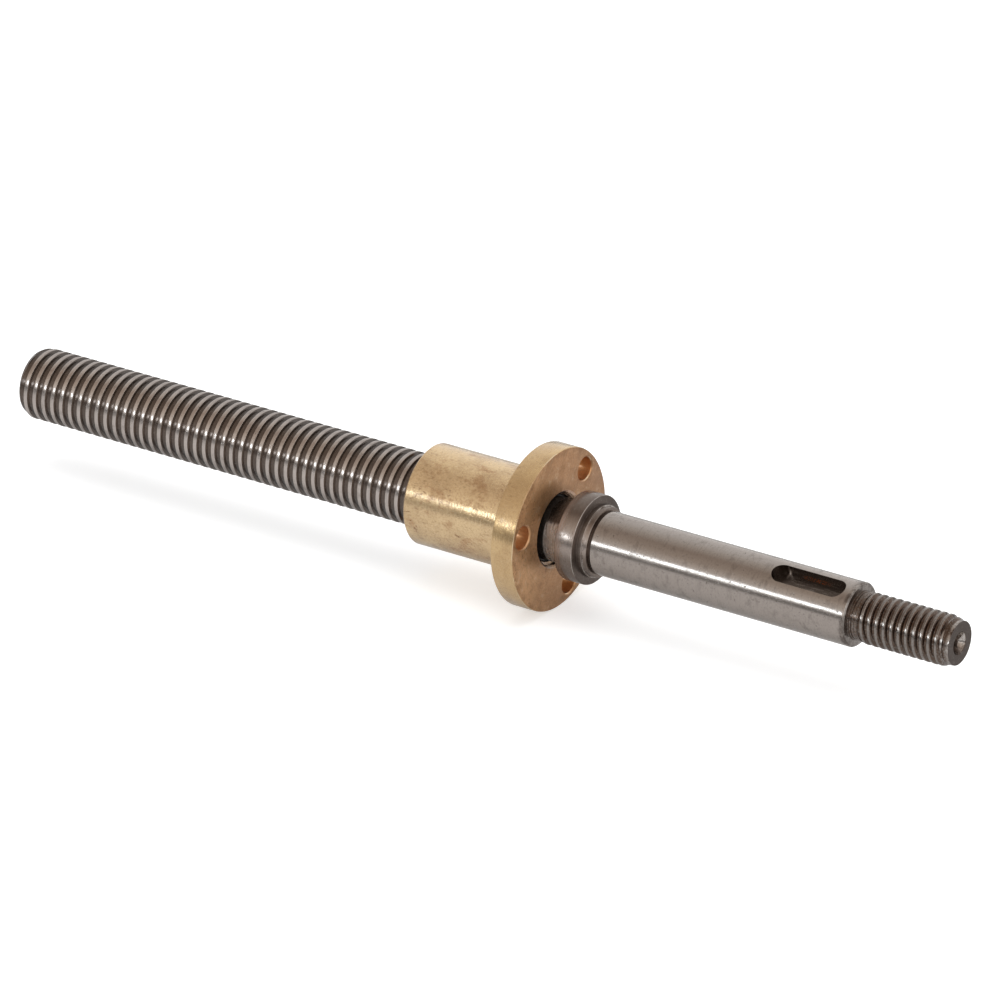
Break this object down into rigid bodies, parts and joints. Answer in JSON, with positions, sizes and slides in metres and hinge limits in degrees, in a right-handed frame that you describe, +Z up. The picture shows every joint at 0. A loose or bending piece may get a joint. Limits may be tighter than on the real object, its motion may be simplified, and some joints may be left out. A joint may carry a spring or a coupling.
{
  "type": "lead screw with flanged nut",
  "caption": "Turned steel lead screw with a left-hand trapezoidal thread, thrust collar, keyed journal and threaded end, carrying a flanged bronze nut.",
  "frame": {"origin": "on the screw's axis at the bearing shoulder, where the journal begins", "axes": "+X along the screw's axis from the free threaded end towards the keyed end, +Z up, the keyway turned 24 degrees from +Z towards -Y"},
  "size_m": [0.295, 0.0452, 0.0452],
  "materials": {
    "turned_steel": "turned",
    "nut_bronze": "turned"
  },
  "bodies": {
    "screw": {"lead_screw": "turned_steel"},
    "nut": {"flange_nut": "nut_bronze"}
  },
  "joints": [
    {"name": "nut_travel", "type": "slide", "parent": "screw", "child": "nut", "axis": [1, 0, 0], "range_m": [-0.129, 0.006]}
  ]
}
